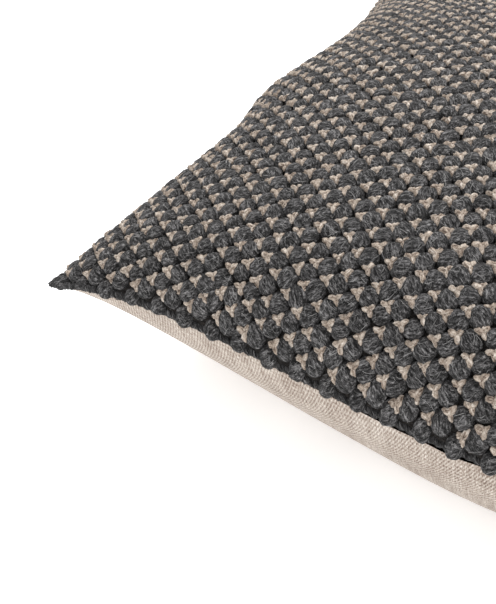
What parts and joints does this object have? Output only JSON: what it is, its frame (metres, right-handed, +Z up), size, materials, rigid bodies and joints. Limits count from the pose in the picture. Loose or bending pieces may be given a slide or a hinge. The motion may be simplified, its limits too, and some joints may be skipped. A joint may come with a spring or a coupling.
{
  "type": "throw pillow",
  "caption": "Square throw pillow with a bobble-weave front, a plain back and pulled-in sides, closed by a concealed zip over a filled insert.",
  "frame": {"origin": "under the middle of the pillow, on the surface it lies on", "axes": "+Z up out of the textured front, through the pillow's thickness; +Y towards the side with the zip; +X towards the zip's closed end"},
  "size_m": [0.4698, 0.4579, 0.1717],
  "materials": {
    "front_weave": "chunky charcoal wool-like bobble weave with beige ground flecks",
    "back_linen": "plain beige linen-like weave",
    "seam_thread": "dark sewing thread",
    "zip_tape": "woven polyester tape",
    "zip_coil": "nylon coil",
    "zip_metal": "satin nickel",
    "ticking": "plain cotton",
    "ticking_thread": "cotton thread",
    "fill": "loose fibre"
  },
  "bodies": {
    "cushion": {"front_cover_panel": "front_weave", "back_cover_panel": "back_linen", "cover_seam_thread": "seam_thread", "zip_tape_front": "zip_tape", "zip_tape_back": "zip_tape", "zip_coil_front": "zip_coil", "zip_coil_back": "zip_coil", "zip_top_stops": "zip_metal", "zip_bottom_stop": "zip_metal", "zip_stitching": "seam_thread", "insert_front_ticking": "ticking", "insert_back_ticking": "ticking", "insert_seam_thread": "ticking_thread", "insert_fill": "fill"},
    "zip_slider": {"zip_slider": "zip_metal"},
    "zip_pull": {"zip_pull": "zip_metal"}
  },
  "joints": [
    {"name": "zip_slide", "type": "slide", "parent": "cushion", "child": "zip_slider", "axis": [-1, 0, 0], "range_m": [0, 0.322]},
    {"name": "pull_swing", "type": "hinge", "parent": "zip_slider", "child": "zip_pull", "pos_m": [0.1615, 0.22477, 0.092], "axis": [0, 0, -1], "range_deg": [0, 170]}
  ]
}
